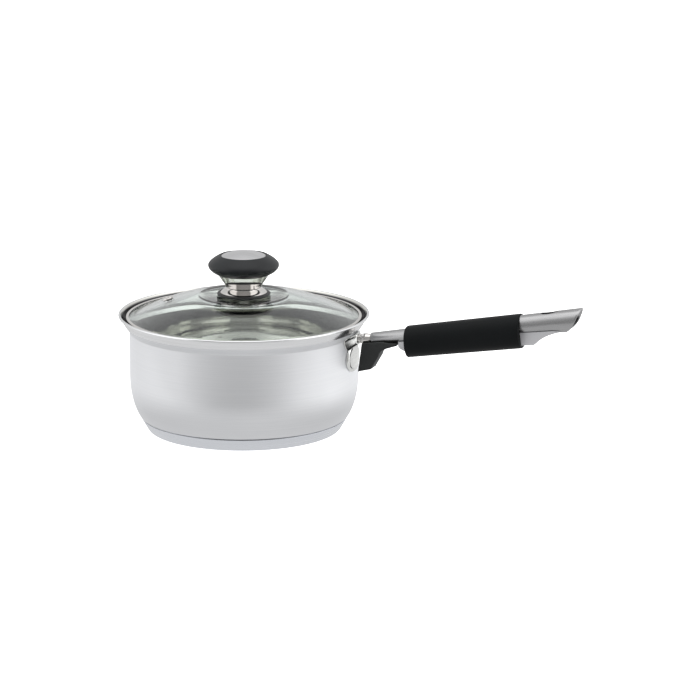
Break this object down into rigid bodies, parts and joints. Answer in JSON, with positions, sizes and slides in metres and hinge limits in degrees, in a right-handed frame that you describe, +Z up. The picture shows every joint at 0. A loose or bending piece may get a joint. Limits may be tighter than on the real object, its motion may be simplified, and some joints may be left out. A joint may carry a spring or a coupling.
{
  "type": "saucepan with glass lid",
  "caption": "Straight-sided stainless saucepan with a flared lip, a tubular handle with a soft grip, and a domed glass lid with a knob.",
  "frame": {"origin": "centre of the flat underside of the base", "axes": "+Z up along the pan's axis, +X out along the handle"},
  "size_m": [0.3338, 0.1762, 0.1265],
  "materials": {
    "steel_body": "satin",
    "steel_base": "satin",
    "aluminium_disc": "plain",
    "steel_polished": "polished",
    "steel_handle": "satin",
    "plastic_black": "soft matte",
    "plastic_charcoal": "matte",
    "plastic_light_grey": "satin",
    "plastic_core": "matte",
    "silicone": "matte",
    "brass": "plain",
    "glass": "clear, tempered"
  },
  "bodies": {
    "pan": {"pan_body": "steel_body", "base_cap": "steel_base", "base_disc": "aluminium_disc", "handle_bracket": "steel_polished", "handle_neck": "steel_polished", "handle_tube": "steel_handle", "handle_spine": "plastic_light_grey", "handle_grip": "plastic_black", "flame_guard": "plastic_charcoal", "guard_screw": "steel_polished"},
    "lid": {"lid_glass": "glass", "lid_band": "steel_polished", "vent_eyelet": "steel_polished", "knob_gasket": "silicone", "knob_stem": "steel_polished", "knob_grip": "plastic_charcoal", "knob_cap": "steel_handle", "knob_core": "plastic_core", "knob_insert": "brass", "knob_screw": "steel_polished", "knob_washer": "steel_polished", "knob_seal": "silicone"}
  },
  "joints": [
    {"name": "lid_lift", "type": "slide", "parent": "pan", "child": "lid", "axis": [0, 0, 1], "range_m": [0, 0.12]}
  ]
}
